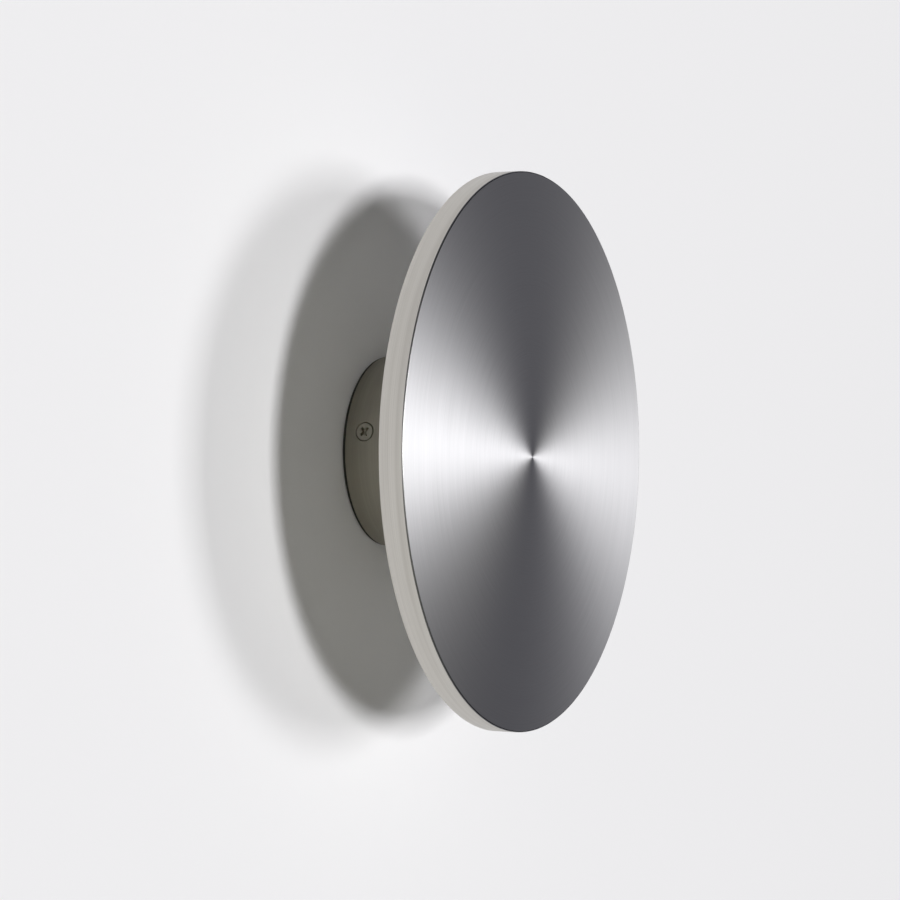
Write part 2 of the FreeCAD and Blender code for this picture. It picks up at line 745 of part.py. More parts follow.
PIECES = {
    "wall_plate": wall_plate,
    "entry_grommet": entry_grommet,
    "plate_earth_screw": plate_earth_screw,
    "front_disc": front_disc,
    "weld_studs": weld_studs,
    "hub_shell": hub_shell,
    "hub_gasket": hub_gasket,
    "hub_washers": hub_washers,
    "hub_nuts": hub_nuts,
    "clamp_block_left": clamp_block,
    "clamp_block_right": lambda: turned(clamp_block(), 180),
    "side_screw_left": side_screw,
    "side_screw_right": lambda: turned(side_screw(), 180),
    "thermal_pad": thermal_pad,
    "led_board": led_board,
    "led_chips_outer": lambda: led_chips(outer_chip_circle, outer_chip_count),
    "led_chips_inner": lambda: led_chips(inner_chip_circle, inner_chip_count),
    "led_connector": led_connector,
    "inner_spacer": inner_spacer,
    "outer_spacer": outer_spacer,
    "diffuser": diffuser,
    "diffuser_screws": diffuser_screws,
    "snap_ring": snap_ring,
    "driver_case": driver_case,
    "driver_lid": driver_lid,
    "driver_board": driver_board,
    "driver_transformer": driver_transformer,
    "driver_capacitor": driver_capacitor,
    "driver_screws": driver_screws,
    "terminal_block": terminal_block,
    "terminal_screws": terminal_screws,
    "cable_clamp": cable_clamp,
    "cable_clamp_screws": cable_clamp_screws,
    "earth_tag": earth_tag,
    "earth_screw": earth_screw,
    "lead_plug": lead_plug,
    "live_lead": lambda: mains_lead(0),
    "neutral_lead": lambda: mains_lead(1),
    "earth_lead": earth_lead,
    "led_lead_plus": lambda: led_lead(1),
    "led_lead_minus": lambda: led_lead(-1),
}

os.makedirs("parts", exist_ok=True)
for name, make in PIECES.items():
    shape = make()
    solids = shape.Solids
    if not solids or not all(s.isValid() and s.isClosed() and s.Volume > 0 for s in solids):
        raise ValueError(f"{name}: {len(solids)} solids, and not all are sound")
    piece = solids[0] if len(solids) == 1 else Part.makeCompound(solids)
    piece.exportStep(f"parts/{name}.step")
    print(f"{name:20s} {len(solids):3d} solids  {piece.Volume:10.1f} mm3")
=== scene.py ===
# %% [markdown]
# # A round disc wall light, finished in Blender
# The light is a turned metal disc on a short hub. It stands off the wall and throws its light back on to it.
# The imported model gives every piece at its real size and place, in metres, with the wall at y = 0, the disc
# facing -Y and +Z up. This script keeps those places. It gives each piece its finish, and it rebuilds the
# pieces that show most with finer shapes than a plain solid has.

# %% Load the frame
import json
import math

import bpy
from mathutils import Euler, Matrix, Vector


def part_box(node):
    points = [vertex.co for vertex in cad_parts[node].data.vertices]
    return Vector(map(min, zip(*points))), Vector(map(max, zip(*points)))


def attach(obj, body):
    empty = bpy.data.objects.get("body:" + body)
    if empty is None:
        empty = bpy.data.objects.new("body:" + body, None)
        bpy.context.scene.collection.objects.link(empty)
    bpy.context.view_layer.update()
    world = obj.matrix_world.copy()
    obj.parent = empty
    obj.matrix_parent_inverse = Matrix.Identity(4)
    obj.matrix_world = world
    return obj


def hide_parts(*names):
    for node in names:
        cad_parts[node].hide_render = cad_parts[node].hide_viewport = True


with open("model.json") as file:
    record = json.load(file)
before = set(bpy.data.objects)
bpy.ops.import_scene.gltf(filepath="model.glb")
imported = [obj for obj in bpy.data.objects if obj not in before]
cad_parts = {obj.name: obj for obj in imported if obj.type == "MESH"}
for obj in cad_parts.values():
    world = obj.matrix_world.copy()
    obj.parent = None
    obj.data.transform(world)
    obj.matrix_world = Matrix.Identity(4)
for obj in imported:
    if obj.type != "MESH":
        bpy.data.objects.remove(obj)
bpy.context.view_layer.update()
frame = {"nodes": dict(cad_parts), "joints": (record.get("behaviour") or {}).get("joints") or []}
MM = 0.001

# %% [markdown]
# ## Sizes
# Nothing is measured by eye. The box of a node gives its radius and the two depths between which it lies,
# where a depth is the distance out from the wall. What a box can't say, such as the thickness of the disc's
# rim, gets a name in the cell that needs it.

# %% Read the sizes of the round pieces
def round_size(node):
    """Radius, and the depths nearest to and farthest from the wall, of a node about the light's axis."""
    low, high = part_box(node)
    return (high.z - low.z) / 2, -high.y, -low.y


disc_radius, disc_rear, disc_front = round_size("front_disc")
hub_radius, hub_rear, hub_front = round_size("hub_shell")
gasket_radius, gasket_rear, gasket_front = round_size("hub_gasket")
ring_radius, ring_rear, ring_front = round_size("snap_ring")
diffuser_radius, diffuser_rear, diffuser_front = round_size("diffuser")
print(f"disc {disc_radius / MM:.1f} mm, {disc_rear / MM:.1f} to {disc_front / MM:.1f} mm from the wall")
print(f"hub {hub_radius / MM:.1f} mm, {hub_rear / MM:.1f} to {hub_front / MM:.1f} mm from the wall")

# %% [markdown]
# ## The camera
# The photograph looks from the left, nearly along the wall, through a long lens from about 1.2 m. The place,
# aim and lens were worked out from the outlines of the disc's two rims and of the hub, so they are written as
# they came out. An azimuth of 0 would look straight at the disc, and a negative one stands to its left. The
# view transform is Standard, which shows a colour as it is written.

# %% Place the camera
camera_place = Vector((-1.0597, -0.5624, 0.0081))
camera_azimuth = math.radians(-63.40)
camera_elevation = math.radians(0.36)
camera_lens = 104.36
camera_sensor = 36.0
camera_data = bpy.data.cameras.new("photo_camera")
camera_data.sensor_width = camera_sensor
camera_data.lens = camera_lens
camera = bpy.data.objects.new("photo_camera", camera_data)
bpy.context.collection.objects.link(camera)
camera.location = camera_place
camera.rotation_euler = Euler((math.pi / 2 - camera_elevation, 0.0, camera_azimuth))
bpy.context.scene.camera = camera
bpy.context.scene.view_settings.view_transform = "Standard"
print("camera", [round(value, 4) for value in camera_place])

# %% [markdown]
# ## Selecting
# An operator works on all that is selected, and a new primitive comes selected all over. So each tool below
# starts from an empty selection, and faces and edges are then picked by where they lie. The depth and radius
# of a face are known from the sizes above, so a test on them finds it without a click.

# %% Tools for selecting
pick_slack = 0.05 * MM
nearly_along = 0.9


def clear_selection():
    """Leaves edit mode, with nothing selected."""
    if bpy.context.mode != "OBJECT":
        bpy.ops.object.mode_set(mode="OBJECT")
    bpy.ops.object.select_all(action="DESELECT")


def only(piece):
    """Leaves just this object selected and active, out of edit mode."""
    clear_selection()
    piece.select_set(True)
    bpy.context.view_layer.objects.active = piece


def pick(piece, kind, where):
    """Enters edit mode with just the faces or edges picked that pass the test. A face is tested by its
    centre and normal, and an edge by its two ends."""
    only(piece)
    bpy.ops.object.mode_set(mode="EDIT")
    bpy.ops.mesh.select_mode(type=kind)
    bpy.ops.mesh.select_all(action="DESELECT")
    bpy.ops.object.mode_set(mode="OBJECT")
    mesh = piece.data
    if kind == "FACE":
        for face in mesh.polygons:
            face.select = bool(where(face.center, face.normal))
    else:
        for edge in mesh.edges:
            start, end = (mesh.vertices[index].co for index in edge.vertices)
            edge.select = bool(where(start, end))
    bpy.ops.object.mode_set(mode="EDIT")


def on_circle(radius, depth):
    """A test for edges that lie along a circle of this radius at this depth."""
    def near(point):
        off_depth = abs(-point.y - depth)
        off_radius = abs(math.hypot(point.x, point.z) - radius)
        return off_depth < pick_slack and off_radius < pick_slack
    return lambda start, end: near(start) and near(end)


def flat_to_the_wall(depth):
    """A test for flat faces at a depth that face the wall."""
    return lambda centre, normal: abs(-centre.y - depth) < pick_slack and normal.y > nearly_along


print("selecting tools ready")

# %% [markdown]
# ## Shaping
# Every piece starts as one primitive and is shaped with the moves that a hand would make: inset, extrude,
# scale, bevel. A turned piece is a blank whose face is stepped in and out along its axis, as on a lathe. In
# the end each piece is shaded smooth, except across its sharp edges, and is tied to its body and its node.

# %% Tools for shaping
sharp_edge = math.radians(30)


def turned_blank(name, radius, rear, front, sides):
    """A solid round blank about the light's axis, between two depths."""
    clear_selection()
    bpy.ops.mesh.primitive_cylinder_add(
        vertices=sides, radius=radius, depth=front - rear, end_fill_type="NGON",
        location=(0, -(front + rear) / 2, 0), rotation=(math.pi / 2, 0, 0))
    blank = bpy.context.object
    blank.name = blank.data.name = name
    bpy.ops.object.transform_apply(location=True, rotation=True, scale=True)
    return blank


def step_along(depth_change):
    """Extrudes the picked face along the axis. A positive change goes towards the room."""
    bpy.ops.mesh.extrude_region_move(TRANSFORM_OT_translate={"value": (0, -depth_change, 0)})


def step_across(old_radius, new_radius):
    """Extrudes the picked face in its own plane, from one radius to another."""
    factor = new_radius / old_radius
    bpy.ops.mesh.extrude_region_move(TRANSFORM_OT_translate={"value": (0, 0, 0)})
    bpy.ops.transform.resize(value=(factor, 1, factor), center_override=(0, 0, 0))


def round_edges(width, segments):
    """Bevels the picked edges to a small round."""
    bpy.ops.mesh.bevel(offset=width, offset_type="OFFSET", segments=segments, profile=0.5, affect="EDGES")


def shade(piece):
    """Smooth shading, with the sharp edges kept crisp."""
    only(piece)
    bpy.ops.object.shade_smooth_by_angle(angle=sharp_edge)


def place_piece(piece, body, node):
    """Hangs the piece on its body and lets it stand for its node."""
    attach(piece, body)
    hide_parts(node)
    print(piece.name, len(piece.data.polygons), "faces on", body)


print("shaping tools ready")

# %% [markdown]
# ## Building finishes from nodes
# A finish is a Principled shader with a little noise on its colour, roughness and relief, because no real
# surface is one flat value. By hand such a tree is drawn node by node. The same few nodes come back in each
# finish, so each has a short function here, which takes sockets or numbers and gives back the result.

# %% Tools for finishes
def new_finish(name):
    """A new material with its node tree and its shader."""
    material = bpy.data.materials.new(name)
    material.use_nodes = True
    return material, material.node_tree, material.node_tree.nodes["Principled BSDF"]


def plug(tree, value, socket):
    """Links a socket to another, or sets it to a plain value. None leaves it as it is."""
    if isinstance(value, bpy.types.NodeSocket):
        tree.links.new(value, socket)
    elif value is not None:
        socket.default_value = value


def math_node(tree, operation, *values):
    """The result of a Math node on sockets or numbers."""
    node = tree.nodes.new("ShaderNodeMath")
    node.operation = operation
    for value, socket in zip(values, node.inputs):
        plug(tree, value, socket)
    return node.outputs[0]


def vector_node(tree, operation, first, second=None, scale=None):
    """The result of a Vector Math node, which is a number for a length."""
    node = tree.nodes.new("ShaderNodeVectorMath")
    node.operation = operation
    plug(tree, first, node.inputs[0])
    plug(tree, second, node.inputs[1])
    if scale is not None:
        plug(tree, scale, node.inputs["Scale"])
    return node.outputs["Value" if operation == "LENGTH" else "Vector"]


def map_range(tree, value, old_range, new_range=(0.0, 1.0)):
    """Carries a value from one range on to another, and holds it at the ends."""
    node = tree.nodes.new("ShaderNodeMapRange")
    node.inputs["From Min"].default_value, node.inputs["From Max"].default_value = old_range
    node.inputs["To Min"].default_value, node.inputs["To Max"].default_value = new_range
    tree.links.new(value, node.inputs["Value"])
    return node.outputs["Result"]


def mix_colours(tree, factor, first, second):
    """A colour between two."""
    node = tree.nodes.new("ShaderNodeMix")
    node.data_type = "RGBA"
    for value, name in ((factor, "Factor"), (first, "A"), (second, "B")):
        plug(tree, value, node.inputs[name])
    return node.outputs["Result"]


print("finish tools ready")

# %% [markdown]
# ## Grain, tint and relief
# Wear and moulding leave a grain on every surface. Noise stands for it: the colour follows the noise, and so
# does a relief of small bumps. A noise texture's values lie mostly between 0.3 and 0.7, so that range is
# stretched on to the wanted one. The noise reads Object coordinates, which stay with the piece when it moves.

# %% Tools for grain
grain_range = (0.3, 0.7)


def place_on_piece(tree, scale=(1, 1, 1), centre=(0, 0, 0)):
    """Object coordinates about a centre, stretched along the axes."""
    coordinates = tree.nodes.new("ShaderNodeTexCoord")
    mapping = tree.nodes.new("ShaderNodeMapping")
    mapping.inputs["Location"].default_value = [-c * s for c, s in zip(centre, scale)]
    mapping.inputs["Scale"].default_value = scale
    tree.links.new(coordinates.outputs["Object"], mapping.inputs["Vector"])
    return mapping.outputs["Vector"]


def noise(tree, place, scale=1.0, detail=3.0, rough=0.5):
    """Noise at a place, with scale in grains per metre where the place isn't stretched."""
    node = tree.nodes.new("ShaderNodeTexNoise")
    node.inputs["Scale"].default_value = scale
    node.inputs["Detail"].default_value = detail
    node.inputs["Roughness"].default_value = rough
    tree.links.new(place, node.inputs["Vector"])
    return node.outputs["Fac"]


def tint(tree, grain, colours):
    """A colour between a dark and a light one, by a noise."""
    dark, light = colours
    return mix_colours(tree, map_range(tree, grain, grain_range), (*dark, 1.0), (*light, 1.0))


def relief(tree, shader, height, strength, distance):
    """Small bumps on the shader's normal."""
    node = tree.nodes.new("ShaderNodeBump")
    node.inputs["Strength"].default_value = strength
    node.inputs["Distance"].default_value = distance
    tree.links.new(height, node.inputs["Height"])
    tree.links.new(node.outputs["Normal"], shader.inputs["Normal"])


print("grain tools ready")

# %% [markdown]
# ## The wall
# The light hangs on a wall, so the backdrop is the wall and there is no floor. The wall is one plane of pale,
# slightly uneven paint, a hair behind the object's back. Two things would spoil other views: seen from behind
# it would hide the object, and far from the lamps it would go dark. So the paint is clear for camera rays
# that come from behind, and it fades out far from the light, beyond all that the photograph shows. Only
# camera rays see it so. For light and shadow it stays a solid wall.

# %% Make the wall
wall_size = 80.0
wall_gap = 0.2 * MM
wall_colour = (0.87, 0.866, 0.885, 1.0)
wall_roughness = 0.9
wall_specular = 0.2
paint_grain = 900.0
paint_relief, paint_height = 0.12, 0.2 * MM
fade_range = (1.5, 5.0)


def wall_material():
    material, tree, shader = new_finish("wall_paint")
    shader.inputs["Base Color"].default_value = wall_colour
    shader.inputs["Roughness"].default_value = wall_roughness
    shader.inputs["Specular IOR Level"].default_value = wall_specular
    paint = noise(tree, place_on_piece(tree), paint_grain, detail=4.0)
    relief(tree, shader, paint, paint_relief, paint_height)
    from_behind = tree.nodes.new("ShaderNodeNewGeometry").outputs["Backfacing"]
    far_off = map_range(tree, vector_node(tree, "LENGTH", place_on_piece(tree)), fade_range)
    clear = math_node(tree, "MAXIMUM", from_behind, far_off)
    camera_ray = tree.nodes.new("ShaderNodeLightPath").outputs["Is Camera Ray"]
    mix = tree.nodes.new("ShaderNodeMixShader")
    tree.links.new(math_node(tree, "MULTIPLY", camera_ray, clear), mix.inputs[0])
    tree.links.new(shader.outputs[0], mix.inputs[1])
    tree.links.new(tree.nodes.new("ShaderNodeBsdfTransparent").outputs[0], mix.inputs[2])
    tree.links.new(mix.outputs[0], tree.nodes["Material Output"].inputs["Surface"])
    return material


clear_selection()
bpy.ops.mesh.primitive_plane_add(size=wall_size, location=(0, wall_gap, 0), rotation=(math.pi / 2, 0, 0))
wall = bpy.context.object
wall.name = wall.data.name = "wall"
bpy.ops.object.transform_apply(location=True, rotation=True, scale=True)
wall.data.materials.append(wall_material())
print("wall faces", tuple(round(value, 2) for value in wall.data.polygons[0].normal))

# %% [markdown]
# ## The lamps
# Two lamps each cast a round shadow of the disc on the wall. The left lamp's falls to the right, where the
# disc hides most of it, and the right lamp's falls to the left. Where both fall, the wall is dark, in the
# shape of a tall lens. The shift of a shadow, over the disc's distance from the wall, gives the direction of
# its lamp. Both stand nearly level with the light, which is also why the brushed face is bright to its left
# and right and dark above and below. Their size sets how soft the shadows' edges are. Each is an area lamp,
# far off, so that its light comes in evenly. A third one stands behind the wall, for views from there, and
# a later step says what it lights.

# %% Hang the lamps
lamp_distance = 12.0


def soft_box(name, azimuth, elevation, width, height, strength):
    """A rectangular lamp aimed at the light. Azimuth 0 is straight in front of it, and a negative one is to
    its left. Width and height are the angles that the lamp fills, and strength is the light that it sends on
    to a surface that faces it."""
    data = bpy.data.lights.new(name, "AREA")
    data.shape = "RECTANGLE"
    data.size = 2 * lamp_distance * math.tan(math.radians(width / 2))
    data.size_y = 2 * lamp_distance * math.tan(math.radians(height / 2))
    data.energy = strength * math.pi * lamp_distance ** 2
    lamp = bpy.data.objects.new(name, data)
    bpy.context.collection.objects.link(lamp)
    turn, rise = math.radians(azimuth), math.radians(elevation)
    level = math.cos(rise)
    towards_lamp = Vector((math.sin(turn) * level, -math.cos(turn) * level, math.sin(rise)))
    lamp.location = towards_lamp * lamp_distance
    lamp.rotation_euler = towards_lamp.to_track_quat("Z", "Y").to_euler()
    print(name, azimuth, "degrees,", round(data.energy), "W")
    return lamp


soft_box("left_lamp", azimuth=-20, elevation=2, width=9.5, height=11, strength=2.0)
soft_box("right_lamp", azimuth=31, elevation=2, width=15, height=14, strength=1.1)
back_lamp = soft_box("lamp_behind_wall", azimuth=180, elevation=20, width=20, height=20, strength=0.9)

# %% [markdown]
# ## The room's own light
# The rest of the light comes from the room. In the photograph the dark shadow is warm and a little lighter
# towards its lower end, and the face is cold where it mirrors the dark right side of the room. So the world
# is warm at the left and brighter towards the floor, and dark and bluish at the right. The camera sees the
# world only past the wall, as the wall's own colour. The metal goes on mirroring the dark room, because it
# faces the room and not the backdrop.

# %% Light the room
left_room = (0.117, 0.115, 0.095)
right_room = (0.037, 0.037, 0.054, 1.0)
room_sides = (-0.6, 0.7)
level_light, light_lost_upwards, least_light = 1.25, 1.9, 0.1

world = bpy.data.worlds.new("room")
bpy.context.scene.world = world
world.use_nodes = True
room = world.node_tree
direction = room.nodes.new("ShaderNodeSeparateXYZ")
room.links.new(room.nodes.new("ShaderNodeTexCoord").outputs["Generated"], direction.inputs[0])
right_share = map_range(room, direction.outputs["X"], room_sides)
by_height = math_node(room, "MULTIPLY_ADD", direction.outputs["Z"], -light_lost_upwards, level_light)
left_light = vector_node(room, "SCALE", left_room, scale=math_node(room, "MAXIMUM", by_height, least_light))
room_light = mix_colours(room, right_share, left_light, right_room)
camera_ray = room.nodes.new("ShaderNodeLightPath").outputs["Is Camera Ray"]
shown = mix_colours(room, camera_ray, room_light, wall_colour)
room.links.new(shown, room.nodes["Background"].inputs["Color"])
print("room lit,", len(room.nodes), "nodes")

# %% [markdown]
# ## Scratches that aren't modelled
# Brushed metal is covered in fine scratches side by side. They scatter light across themselves and hardly
# along themselves, which draws each highlight out. The shader's Anisotropic does this without modelling a
# scratch: its Tangent is the direction in which the highlight is drawn out. The shader wants that direction
# in the scene, so it is turned there from the piece's own. Noise in circles gives the few scratches that can
# be told apart.

# %% Tools for brushed metal
def in_the_scene(tree, direction_on_piece):
    """A direction on the piece as one in the scene, so that it follows the piece to any pose."""
    node = tree.nodes.new("ShaderNodeVectorTransform")
    node.vector_type = "VECTOR"
    node.convert_from, node.convert_to = "OBJECT", "WORLD"
    tree.links.new(direction_on_piece, node.inputs[0])
    return node.outputs[0]


def ring_noise(tree, outward, unit, rings, arc):
    """Noise in circles: rings is how many grains a metre across them, arc how soon one changes along it."""
    across = tree.nodes.new("ShaderNodeCombineXYZ")
    distance = vector_node(tree, "LENGTH", outward)
    tree.links.new(math_node(tree, "MULTIPLY", distance, rings), across.inputs["Y"])
    along = vector_node(tree, "SCALE", unit, scale=arc)
    return noise(tree, vector_node(tree, "ADD", along, across.outputs[0]))


def blend(tree, fine, broad, share):
    """Two noises as one, with this share of the fine one."""
    return math_node(tree, "MULTIPLY_ADD", fine, share, math_node(tree, "MULTIPLY", broad, 1 - share))


print("brushing tools ready")

# %% [markdown]
# ## The brushed face
# The face is turned on a lathe and brushed with grit while it spins, so its scratches are circles. The
# highlight is drawn out straight away from the brushing centre, which lies a little below the disc's own
# centre, and that makes the bright fan to both sides. Fine and broad rings of noise vary colour and
# roughness, and the fine ones give the relief.

# %% Finish: brushed in circles
brush_centre = (0.0, 0.0, -2.4 * MM)
face_colours = ((0.415, 0.412, 0.424), (0.462, 0.459, 0.471))
face_roughness = (0.545, 0.495)
face_drawn_out = 0.765
fine_rings, fine_arc = 2600.0, 2.2
broad_rings, broad_arc = 260.0, 1.2
fine_share = 0.75
face_relief, scratch_height = 0.05, 0.02 * MM


def brushed_face_material():
    material, tree, shader = new_finish("turned_steel_face")
    outward = place_on_piece(tree, scale=(1, 0, 1), centre=brush_centre)
    unit = vector_node(tree, "NORMALIZE", outward)
    fine = ring_noise(tree, outward, unit, fine_rings, fine_arc)
    broad = ring_noise(tree, outward, unit, broad_rings, broad_arc)
    grain = blend(tree, fine, broad, fine_share)
    shader.inputs["Metallic"].default_value = 1.0
    shader.inputs["Anisotropic"].default_value = face_drawn_out
    tree.links.new(in_the_scene(tree, unit), shader.inputs["Tangent"])
    tree.links.new(tint(tree, grain, face_colours), shader.inputs["Base Color"])
    tree.links.new(map_range(tree, grain, grain_range, face_roughness), shader.inputs["Roughness"])
    relief(tree, shader, fine, face_relief, scratch_height)
    return material


face_finish = brushed_face_material()
print(face_finish.name, len(face_finish.node_tree.nodes), "nodes")

# %% [markdown]
# ## Satin metal
# The disc's edge, the hub and the screws are brushed round their sides, to a softer and warmer satin. Here
# the scratches run round the axis too, so the highlight is drawn out along the axis, and the tangent is
# simply the Y axis. The noise is squeezed along the axis and hardly changes across it, so that its grains
# become fine lines round the side.

# %% Finish: satin, brushed round the side
satin_drawn_out = 0.5
fine_lines, broad_lines = 3000.0, 420.0
broad_slower = 0.6
even_share = 0.5
satin_relief = 0.04


def satin_material(name, colours, roughness, around):
    """Satin metal. around is how soon a line changes on its way round the side, in grains per metre."""
    material, tree, shader = new_finish(name)
    axis = tree.nodes.new("ShaderNodeCombineXYZ")
    axis.inputs["Y"].default_value = 1.0
    slower = around * broad_slower
    fine = noise(tree, place_on_piece(tree, scale=(around, fine_lines, around)))
    broad = noise(tree, place_on_piece(tree, scale=(slower, broad_lines, slower)), detail=2.0)
    grain = blend(tree, fine, broad, even_share)
    shader.inputs["Metallic"].default_value = 1.0
    shader.inputs["Anisotropic"].default_value = satin_drawn_out
    tree.links.new(in_the_scene(tree, axis.outputs[0]), shader.inputs["Tangent"])
    tree.links.new(tint(tree, grain, colours), shader.inputs["Base Color"])
    tree.links.new(map_range(tree, grain, grain_range, roughness), shader.inputs["Roughness"])
    relief(tree, shader, fine, satin_relief, scratch_height)
    return material


band_colours = ((0.55, 0.53, 0.49), (0.67, 0.65, 0.61))
# The front edge's much darker colour is a painted reflection, which draws the thin dark line round the face.
edge_painted_reflection_colours = ((0.20, 0.20, 0.20), (0.28, 0.28, 0.28))
# The hub's colours are darker and browner than the band's. This is painted shade, because the hub sits in the
# disc's shadow.
hub_painted_shade_colours = ((0.365, 0.343, 0.288), (0.44, 0.418, 0.358))
band_finish = satin_material("turned_steel_band", band_colours, roughness=(0.50, 0.42), around=12)
edge_painted_reflection = satin_material("turned_steel_edge_painted_reflection", edge_painted_reflection_colours, roughness=(0.32, 0.25), around=12)
hub_painted_shade_finish = satin_material("satin_steel_hub_painted_shade", hub_painted_shade_colours, roughness=(0.50, 0.40), around=18)
print(band_finish.name, edge_painted_reflection.name, hub_painted_shade_finish.name)

# %% [markdown]
# ## The disc
# The real disc is one turned pan: a thin face, a rim that reaches back over the LED board and a groove inside
# the rim for the snap ring. A round blank is made at its size, and its rear face is inset and stepped in, out
# for the groove and in again to the pan's floor. Then the two outer edges are broken by a small round, as a
# lathe leaves them. The face and the band are polished apart, so each has its own finish. The front edge is
# smoother, and its much darker colour is a painted reflection, which draws the thin dark line round the face.

# %% Model the disc
rim_thickness = 1.6 * MM
face_thickness = 2.0 * MM
groove_clearance = 0.1 * MM
front_edge_round = 0.6 * MM
rear_edge_round = 0.3 * MM
disc_sides = 288
hair = 0.01 * MM


def disc_finish_at(centre):
    """The number of the finish for a face of the disc: the front, its broken edge or the rest."""
    depth = -centre.y
    if depth > disc_front - hair:
        return 0
    on_the_edge = centre.xz.length > disc_radius - front_edge_round
    return 2 if on_the_edge and depth > disc_front - front_edge_round else 1


def model_disc():
    disc = turned_blank("disc", disc_radius, disc_rear, disc_front, disc_sides)
    opening = disc_radius - rim_thickness
    groove = ring_radius + groove_clearance
    pick(disc, "FACE", flat_to_the_wall(disc_rear))
    bpy.ops.mesh.inset(thickness=rim_thickness, depth=0)
    step_along(ring_rear - disc_rear)
    step_across(opening, groove)
    step_along(ring_front - ring_rear)
    step_across(groove, opening)
    step_along(disc_front - face_thickness - ring_front)
    pick(disc, "EDGE", on_circle(disc_radius, disc_front))
    round_edges(front_edge_round, segments=4)
    pick(disc, "EDGE", on_circle(disc_radius, disc_rear))
    round_edges(rear_edge_round, segments=2)
    only(disc)
    for finish in (face_finish, band_finish, edge_painted_reflection):
        disc.data.materials.append(finish)
    for face in disc.data.polygons:
        face.material_index = disc_finish_at(face.center)
    shade(disc)
    place_piece(disc, "lamp_head", "front_disc")


model_disc()

# %% [markdown]
# ## Where the side screws are
# Two screws go in through the hub's side, one opposite the other, and hold the light to its wall plate. The
# box of a screw gives its depth and the size of its head. The box can't give the angle at which it goes in,
# because the box of a turned piece is wider than the piece, so the angle comes from the axis of its joint.

# %% Find the side screws
screw_low, screw_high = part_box("side_screw_left")
screw_middle = (screw_low + screw_high) / 2
screw_depth = -screw_middle.y
screw_joint = next(joint for joint in frame["joints"] if joint["name"] == "left_screw_slide")
screw_turn = math.atan2(screw_joint["axis"][2], -screw_joint["axis"][0])
head_radius = (screw_high.y - screw_low.y) / 2
head_rim = 0.25 * MM
head_sunk = 0.3 * MM
screw_top = hub_radius - head_sunk
print(f"side screws: depth {screw_depth / MM:.1f} mm, {math.degrees(screw_turn):.0f} degrees from level")

# %% [markdown]
# ## Shapes that point out through the side
# The screws and the holes for them are turned shapes too, about a line that goes out through the hub's side.
# Such a shape is drawn as a circle, extruded and scaled step by step along its outline, then laid over on
# its side at its depth. A Boolean that is applied at once takes one shape out of another, which is the
# quick and exact way where two round shapes cross.

# %% Tools for the side
def lay_over(angle):
    """The turn that lays an upright shape on its side, pointing out at this angle from level."""
    return Euler((0, -math.pi / 2 + angle, 0))


def side_turned(name, outline, angle, sides):
    """A shape turned about a line out through the hub's side. outline is (distance out, radius)."""
    start, radius = outline[0]
    clear_selection()
    bpy.ops.mesh.primitive_circle_add(
        vertices=sides, radius=radius, fill_type="NGON", location=(0, 0, start))
    piece = bpy.context.object
    piece.name = piece.data.name = name
    bpy.ops.object.transform_apply(location=True, rotation=True, scale=True)
    bpy.ops.object.mode_set(mode="EDIT")
    bpy.ops.mesh.select_all(action="SELECT")
    for (low, old_radius), (high, new_radius) in zip(outline, outline[1:]):
        factor = new_radius / old_radius
        bpy.ops.mesh.extrude_region_move(TRANSFORM_OT_translate={"value": (0, 0, high - low)})
        bpy.ops.transform.resize(value=(factor, factor, 1), center_override=(0, 0, 0))
    bpy.ops.mesh.select_all(action="SELECT")
    bpy.ops.mesh.normals_make_consistent(inside=False)
    only(piece)
    piece.rotation_euler = lay_over(angle)
    piece.location = (0, -screw_depth, 0)
    bpy.ops.object.transform_apply(location=True, rotation=True, scale=True)
    return piece


def cut(piece, cutter):
    """Takes the cutter's shape out of the piece and removes the cutter."""
    only(piece)
    boolean = piece.modifiers.new("cut", "BOOLEAN")
    boolean.operation = "DIFFERENCE"
    boolean.solver = "EXACT"
    boolean.object = cutter
    bpy.ops.object.modifier_apply(modifier=boolean.name)
    bpy.data.objects.remove(cutter)


print("side tools ready")

# %% [markdown]
# ## The hub
# The hub is a deep cup with its mouth on the wall and two countersunk holes in its side. The cup is a round
# blank whose rear face is inset and pushed in, and a cone on a cylinder cuts each hole. A hole leaves long
# thin faces round it, which would smudge the shading of the whole side. So two rings are first cut round the
# hub, one on each side of the screws, which keeps those faces short, and the Weighted Normal modifier then
# lets the large faces set the shading.

# %% Model the hub
hub_wall = 2.6 * MM
hub_floor = 3.0 * MM
hub_edge_round = 0.4 * MM
hub_sides = 192
ring_apart = 5.4 * MM
hole_radius = 2.3 * MM
hole_rim_radius = 4.9 * MM
seat_gap = 0.45 * MM
cutter_reach = 2 * MM


def model_hub():
    hub = turned_blank("hub", hub_radius, hub_rear, hub_front, hub_sides)
    pick(hub, "FACE", flat_to_the_wall(hub_rear))
    bpy.ops.mesh.inset(thickness=hub_wall, depth=0)
    step_along(hub_front - hub_floor - hub_rear)
    pick(hub, "EDGE", on_circle(hub_radius, hub_rear))
    round_edges(hub_edge_round, segments=3)
    for depth in (screw_depth - ring_apart, screw_depth + ring_apart):
        pick(hub, "FACE", lambda centre, normal: True)
        bpy.ops.mesh.bisect(plane_co=(0, -depth, 0), plane_no=(0, 1, 0))
    seat = screw_top - head_rim
    seat_radius = head_radius + seat_gap
    outline = [(hub_radius - 2 * hub_wall, hole_radius), (seat - (seat_radius - hole_radius), hole_radius),
               (seat, seat_radius), (screw_top, seat_radius),
               (hub_radius, hole_rim_radius), (hub_radius + cutter_reach, hole_rim_radius)]
    for angle in (screw_turn, screw_turn + math.pi):
        cut(hub, side_turned("countersink", outline, angle, sides=64))
    only(hub)
    hub.data.materials.clear()
    hub.data.materials.append(hub_painted_shade_finish)
    shade(hub)
    even = hub.modifiers.new("even_normals", "WEIGHTED_NORMAL")
    even.keep_sharp = True
    bpy.ops.object.modifier_apply(modifier=even.name)
    place_piece(hub, "lamp_head", "hub_shell")


model_hub()
